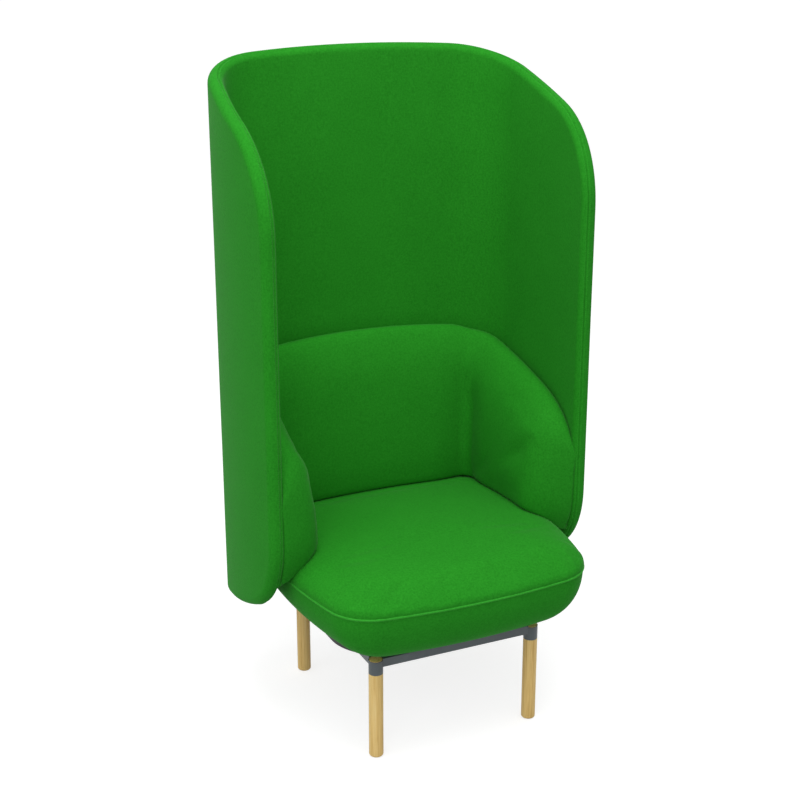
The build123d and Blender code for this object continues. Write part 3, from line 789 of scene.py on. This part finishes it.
def pad_freedom(points):
    """How free the pad's cloth is: held at the screen, at its noses and on the seat."""
    reach = wall_reach(points)
    floor = np.array([low_underside(max(r, 0.0), y) for r, y in zip(reach, points[:, 1])])
    face = ease(reach, *screen_hold) * ease(points[:, 2] - floor, *seat_hold)
    return face * ease(points[:, 1] - arm_front_y, *arm_hold)


seat = make_seat_block()
remesh(seat, voxel)
relax(seat, remesh_relax)
puff(seat, seat_freedom(get_points(seat)), cloth_pressure, cloth_travel)
puff(low_back, pad_freedom(get_points(low_back)), cloth_pressure, cloth_travel)


def cut_seat(name, keep_upper):
    """The part of the cushion above or below its piping, closed where it is cut."""
    piece = seat.copy()
    piece.data = seat.data.copy()
    piece.name = name
    piece.data.name = name
    bpy.context.scene.collection.objects.link(piece)
    shape = bmesh.new()
    shape.from_mesh(piece.data)
    cut = bmesh.ops.bisect_plane(
        shape,
        geom=shape.verts[:] + shape.edges[:] + shape.faces[:],
        plane_co=(0, 0, piping_height),
        plane_no=(0, 0, 1),
        clear_inner=keep_upper,
        clear_outer=not keep_upper,
    )
    edges = [item for item in cut["geom_cut"] if isinstance(item, bmesh.types.BMEdge)]
    bmesh.ops.triangle_fill(shape, edges=edges, use_beauty=True)
    bmesh.ops.recalc_face_normals(shape, faces=shape.faces)
    shape.to_mesh(piece.data)
    shape.free()
    piece.data.shade_smooth()
    return piece


def make_tube(name, line, radius, sides):
    """Closed round cord along a level line."""
    ahead = np.roll(line, -1, axis=0) - np.roll(line, 1, axis=0)
    ahead /= np.linalg.norm(ahead, axis=1)[:, None]
    up = np.array((0.0, 0.0, 1.0))
    out = np.cross(ahead, up)
    vertices, faces = [], []
    for spot, away in zip(line, out):
        for k in range(sides):
            turn = 2 * math.pi * k / sides
            vertices.append(spot + radius * (away * math.cos(turn) + up * math.sin(turn)))
    count = len(line)
    for k in range(count):
        first = [k * sides + j for j in range(sides)]
        second = [(k + 1) % count * sides + j for j in range(sides)]
        faces += strip(first, second, True)
    return make_piece(name, vertices, faces)


seat_top = cut_seat("seat_top_cover", True)
seat_bowl = cut_seat("seat_bowl_cover", False)
bpy.data.objects.remove(seat)
piping_plan = seat_outline(piping_radius - piping_proud, piping_radius - piping_proud)
piping_line = np.column_stack([piping_plan, np.full(len(piping_plan), piping_height)])
piping = resample(piping_line, piping_pitch)[0]
seat_cord = make_tube("seat_piping_cord", piping, piping_radius, piping_sides)

# ---------------------------------------------------------------- materials
def new_material(name):
    """Material with its nodes, and a helper that adds a node of a kind."""
    material = bpy.data.materials.new(name)
    material.use_nodes = True
    tree = material.node_tree
    shader = tree.nodes["Principled BSDF"]

    def add(kind, **values):
        node = tree.nodes.new(kind)
        for key, value in values.items():
            if key in node.inputs:
                node.inputs[key].default_value = value
            else:
                setattr(node, key, value)
        return node

    return material, tree.links, shader, add


def linear(red, green, blue):
    """Colour as light, from its 0 to 255 values on a screen."""
    values = [channel / 255 for channel in (red, green, blue)]
    return tuple(v / 12.92 if v < 0.04045 else ((v + 0.055) / 1.055) ** 2.4 for v in values) + (1.0,)


def ramp(add, links, source, stops):
    """Colour ramp fed by a node output."""
    node = add("ShaderNodeValToRGB")
    links.new(source, node.inputs["Fac"])
    elements = node.color_ramp.elements
    while len(elements) < len(stops):
        elements.new(0.5)
    for element, (place, colour) in zip(elements, stops):
        element.position = place
        element.color = colour
    return node


def felted_wool(name, low, mid, high, weave=1.0):
    """Fulled wool cloth: a soft plain weave under a short felted nap."""
    material, links, shader, add = new_material(name)
    place = add("ShaderNodeTexCoord").outputs["Object"]
    yarn = add("ShaderNodeTexVoronoi", Scale=620.0 * weave, Randomness=0.75)
    fibre = add("ShaderNodeTexNoise", Scale=1500.0, Detail=3.0, Roughness=0.65)
    cloud = add("ShaderNodeTexNoise", Scale=9.0, Detail=2.0, Roughness=0.5)
    fleck = add("ShaderNodeTexNoise", Scale=260.0, Detail=2.0, Roughness=0.6)
    for node in (yarn, fibre, cloud, fleck):
        links.new(place, node.inputs["Vector"])
    tone = add("ShaderNodeMath", operation="MULTIPLY_ADD")
    links.new(fleck.outputs["Fac"], tone.inputs[0])
    tone.inputs[1].default_value = 0.8
    faint = add("ShaderNodeMath", operation="MULTIPLY")
    links.new(cloud.outputs["Fac"], faint.inputs[0])
    faint.inputs[1].default_value = 0.15
    links.new(faint.outputs["Value"], tone.inputs[2])
    spread = add("ShaderNodeMapRange")
    links.new(tone.outputs["Value"], spread.inputs["Value"])
    spread.inputs["From Min"].default_value = 0.2
    spread.inputs["From Max"].default_value = 0.75
    colours = ramp(add, links, spread.outputs["Result"], ((0.0, low), (0.5, mid), (1.0, high)))
    links.new(colours.outputs["Color"], shader.inputs["Base Color"])
    nap = add("ShaderNodeMath", operation="MULTIPLY_ADD")
    links.new(fibre.outputs["Fac"], nap.inputs[0])
    nap.inputs[1].default_value = 0.6
    links.new(yarn.outputs["Distance"], nap.inputs[2])
    bump = add("ShaderNodeBump", Strength=0.35, Distance=0.0006)
    links.new(nap.outputs["Value"], bump.inputs["Height"])
    links.new(bump.outputs["Normal"], shader.inputs["Normal"])
    shader.inputs["Roughness"].default_value = 0.92
    shader.inputs["Specular IOR Level"].default_value = 0.1
    shader.inputs["Sheen Weight"].default_value = 0.1
    shader.inputs["Sheen Roughness"].default_value = 0.3
    shader.inputs["Sheen Tint"].default_value = (0.75, 0.9, 0.75, 1.0)
    return material


def turned_oak(name):
    """Pale lacquered wood with a fine grain along the leg."""
    material, links, shader, add = new_material(name)
    place = add("ShaderNodeTexCoord").outputs["Object"]
    stretch = add("ShaderNodeMapping")
    stretch.inputs["Scale"].default_value = (1.0, 1.0, 0.035)
    links.new(place, stretch.inputs["Vector"])
    grain = add("ShaderNodeTexNoise", Scale=420.0, Detail=5.0, Roughness=0.6, Distortion=0.4)
    figure = add("ShaderNodeTexNoise", Scale=90.0, Detail=2.0, Roughness=0.5, Distortion=1.2)
    for node in (grain, figure):
        links.new(stretch.outputs["Vector"], node.inputs["Vector"])
    blend = add("ShaderNodeMath", operation="MULTIPLY_ADD")
    links.new(grain.outputs["Fac"], blend.inputs[0])
    blend.inputs[1].default_value = 0.5
    half = add("ShaderNodeMath", operation="MULTIPLY")
    links.new(figure.outputs["Fac"], half.inputs[0])
    half.inputs[1].default_value = 0.5
    links.new(half.outputs["Value"], blend.inputs[2])
    colours = ramp(
        add, links, blend.outputs["Value"],
        ((0.34, linear(219, 178, 102)), (0.5, linear(246, 209, 132)), (0.66, linear(254, 223, 152))),
    )
    links.new(colours.outputs["Color"], shader.inputs["Base Color"])
    bump = add("ShaderNodeBump", Strength=0.12, Distance=0.0003)
    links.new(grain.outputs["Fac"], bump.inputs["Height"])
    links.new(bump.outputs["Normal"], shader.inputs["Normal"])
    shader.inputs["Roughness"].default_value = 0.5
    shader.inputs["Specular IOR Level"].default_value = 0.35
    return material


def speckled(name, low, high, roughness, metallic=0.0, scale=900.0, strength=0.1, distance=0.0002):
    """Plain hard finish with a fine orange-peel texture and a slight change of tone."""
    material, links, shader, add = new_material(name)
    place = add("ShaderNodeTexCoord").outputs["Object"]
    grain = add("ShaderNodeTexNoise", Scale=scale, Detail=2.0, Roughness=0.5)
    cloud = add("ShaderNodeTexNoise", Scale=24.0, Detail=3.0, Roughness=0.6)
    for node in (grain, cloud):
        links.new(place, node.inputs["Vector"])
    colours = ramp(add, links, cloud.outputs["Fac"], ((0.3, low), (0.7, high)))
    links.new(colours.outputs["Color"], shader.inputs["Base Color"])
    bump = add("ShaderNodeBump", Strength=strength, Distance=distance)
    links.new(grain.outputs["Fac"], bump.inputs["Height"])
    links.new(bump.outputs["Normal"], shader.inputs["Normal"])
    shader.inputs["Roughness"].default_value = roughness
    shader.inputs["Metallic"].default_value = metallic
    return material


def bent_plywood(name, low, high):
    """Thin veneers: a broad grain on the face."""
    material, links, shader, add = new_material(name)
    place = add("ShaderNodeTexCoord").outputs["Object"]
    stretch = add("ShaderNodeMapping")
    stretch.inputs["Scale"].default_value = (1.0, 1.0, 0.06)
    links.new(place, stretch.inputs["Vector"])
    grain = add("ShaderNodeTexNoise", Scale=160.0, Detail=5.0, Roughness=0.6, Distortion=0.8)
    links.new(stretch.outputs["Vector"], grain.inputs["Vector"])
    colours = ramp(add, links, grain.outputs["Fac"], ((0.35, low), (0.65, high)))
    links.new(colours.outputs["Color"], shader.inputs["Base Color"])
    bump = add("ShaderNodeBump", Strength=0.15, Distance=0.0004)
    links.new(grain.outputs["Fac"], bump.inputs["Height"])
    links.new(bump.outputs["Normal"], shader.inputs["Normal"])
    shader.inputs["Roughness"].default_value = 0.6
    return material


wool = felted_wool("green_wool", linear(27, 122, 22), linear(37, 140, 31), linear(45, 152, 38))
thread = felted_wool("green_thread", linear(44, 152, 38), linear(55, 165, 48), linear(65, 173, 57), 2.0)
oak = turned_oak("oak")
paint = speckled("grey_paint", linear(73, 81, 85), linear(83, 92, 96), 0.45)
plastic = speckled("glide_plastic", linear(58, 60, 60), linear(66, 68, 68), 0.6, scale=1400.0)
zinc = speckled("zinc", linear(170, 172, 174), linear(196, 198, 200), 0.35, 1.0, 700.0)
black = bent_plywood("black_board", linear(26, 26, 27), linear(40, 40, 41))
plywood = bent_plywood("plywood", linear(176, 140, 96), linear(206, 172, 126))

node_materials = {
    "leg": oak,
    "collar": paint,
    "rail": paint,
    "glide": plastic,
    "seat_board": black,
    "low_back_board": black,
    "screen_board": plywood,
    "shell_brackets": paint,
    "screen_bolts": zinc,
    "screen_tee_nuts": zinc,
    "seat_bolts": zinc,
    "seat_tee_nuts": zinc,
    "bracket_screws": zinc,
    "leg_screws": zinc,
}


def finish_node(name, node):
    """Give a CAD piece the finish of its kind."""
    kind = name if name in node_materials else name.split("_")[0]
    material = node_materials.get(kind)
    if material:
        node.data.materials.clear()
        node.data.materials.append(material)


for node_name, cad_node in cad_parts.items():
    finish_node(node_name, cad_node)

# ---------------------------------------------------------------- pieces on the frame
soft_pieces = (
    (screen_outer, wool, "upholstery", 0.85, ("screen_outer_pad",)),
    (screen_inner, wool, "upholstery", 0.85, ("screen_inner_pad",)),
    (low_back, wool, "upholstery", 0.85, ("low_back_cover", "low_back_foam")),
    (seat_top, wool, "upholstery", 0.9, ("seat_cover_top", "seat_foam")),
    (seat_bowl, wool, "upholstery", 0.9, ("seat_cover_lower",)),
)
for piece, material, slot, fill, nodes in soft_pieces:
    piece.data.materials.append(material)
    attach(piece, "root")
    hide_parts(*nodes)

for piece, material, slot in ((screen_stitches, thread, "upholstery"), (seat_cord, thread, "piping")):
    piece.data.materials.append(material)
    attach(piece, "root")
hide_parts("seat_piping")

# ---------------------------------------------------------------- floor
floor_tone = 0.45
floor_lift = 0.75


def make_floor():
    """Wide pale floor, white to the camera and to reflections, with a soft shadow."""
    reach = 40.0
    corners = [(-reach, -reach, 0), (reach, -reach, 0), (reach, reach, 0), (-reach, reach, 0)]
    floor = make_piece("floor", corners, [(0, 1, 2, 3)], False)
    material, links, shader, add = new_material("pale_floor")
    shader.inputs["Base Color"].default_value = (floor_tone, floor_tone, floor_tone, 1.0)
    shader.inputs["Roughness"].default_value = 0.9
    path = add("ShaderNodeLightPath")
    seen = add("ShaderNodeMath", operation="MAXIMUM")
    links.new(path.outputs["Is Camera Ray"], seen.inputs[0])
    links.new(path.outputs["Is Glossy Ray"], seen.inputs[1])
    either = add("ShaderNodeMath", operation="MAXIMUM")
    links.new(seen.outputs["Value"], either.inputs[0])
    links.new(path.outputs["Is Transmission Ray"], either.inputs[1])
    lift = add("ShaderNodeMath", operation="MULTIPLY")
    links.new(either.outputs["Value"], lift.inputs[0])
    lift.inputs[1].default_value = floor_lift
    shader.inputs["Emission Color"].default_value = (1.0, 1.0, 1.0, 1.0)
    links.new(lift.outputs["Value"], shader.inputs["Emission Strength"])
    floor.data.materials.append(material)


make_floor()

# ---------------------------------------------------------------- light
def make_lamp(name, place, aim, size, power):
    """Square soft lamp that points at a place."""
    data = bpy.data.lights.new(name, "AREA")
    data.size = size
    data.energy = power
    lamp = bpy.data.objects.new(name, data)
    lamp.location = place
    lamp.rotation_euler = (Vector(aim) - Vector(place)).to_track_quat("-Z", "Y").to_euler()
    bpy.context.scene.collection.objects.link(lamp)


def make_world(strength):
    """Even studio light from all round, white where the camera sees it."""
    world = bpy.data.worlds.new("studio")
    bpy.context.scene.world = world
    world.use_nodes = True
    nodes, links = world.node_tree.nodes, world.node_tree.links
    back = nodes["Background"]
    back.inputs["Color"].default_value = (1.0, 1.0, 1.0, 1.0)
    path = nodes.new("ShaderNodeLightPath")
    seen = nodes.new("ShaderNodeMath")
    seen.operation = "MAXIMUM"
    links.new(path.outputs["Is Camera Ray"], seen.inputs[0])
    links.new(path.outputs["Is Glossy Ray"], seen.inputs[1])
    either = nodes.new("ShaderNodeMath")
    either.operation = "MAXIMUM"
    links.new(seen.outputs["Value"], either.inputs[0])
    links.new(path.outputs["Is Transmission Ray"], either.inputs[1])
    level = nodes.new("ShaderNodeMapRange")
    level.inputs["To Min"].default_value = strength
    level.inputs["To Max"].default_value = 1.0
    links.new(either.outputs["Value"], level.inputs["Value"])
    links.new(level.outputs["Result"], back.inputs["Strength"])


make_world(strength=0.49)
make_lamp("lamp_top", place=(-0.3, -0.8, 4.0), aim=(0.0, 0.0, 0.5), size=2.6, power=79.0)
make_lamp("lamp_front", place=(-2.2, -3.2, 3.2), aim=(0.0, 0.0, 0.6), size=2.2, power=31.0)
make_lamp("lamp_left", place=(-3.4, -0.6, 2.0), aim=(0.0, 0.0, 0.7), size=2.4, power=21.0)

# ---------------------------------------------------------------- camera
camera_place = (-1.2824, -2.6769, 1.6843)
camera_tilt = math.radians(90 - 18.615)
camera_turn = math.radians(-25.154)
camera_lens = 67.27

camera_data = bpy.data.cameras.new("camera")
camera_data.sensor_width = 36.0
camera_data.lens = camera_lens
camera = bpy.data.objects.new("camera", camera_data)
camera.location = camera_place
camera.rotation_euler = (camera_tilt, 0.0, camera_turn)
bpy.context.scene.collection.objects.link(camera)
bpy.context.scene.camera = camera
bpy.context.scene.view_settings.view_transform = "Standard"
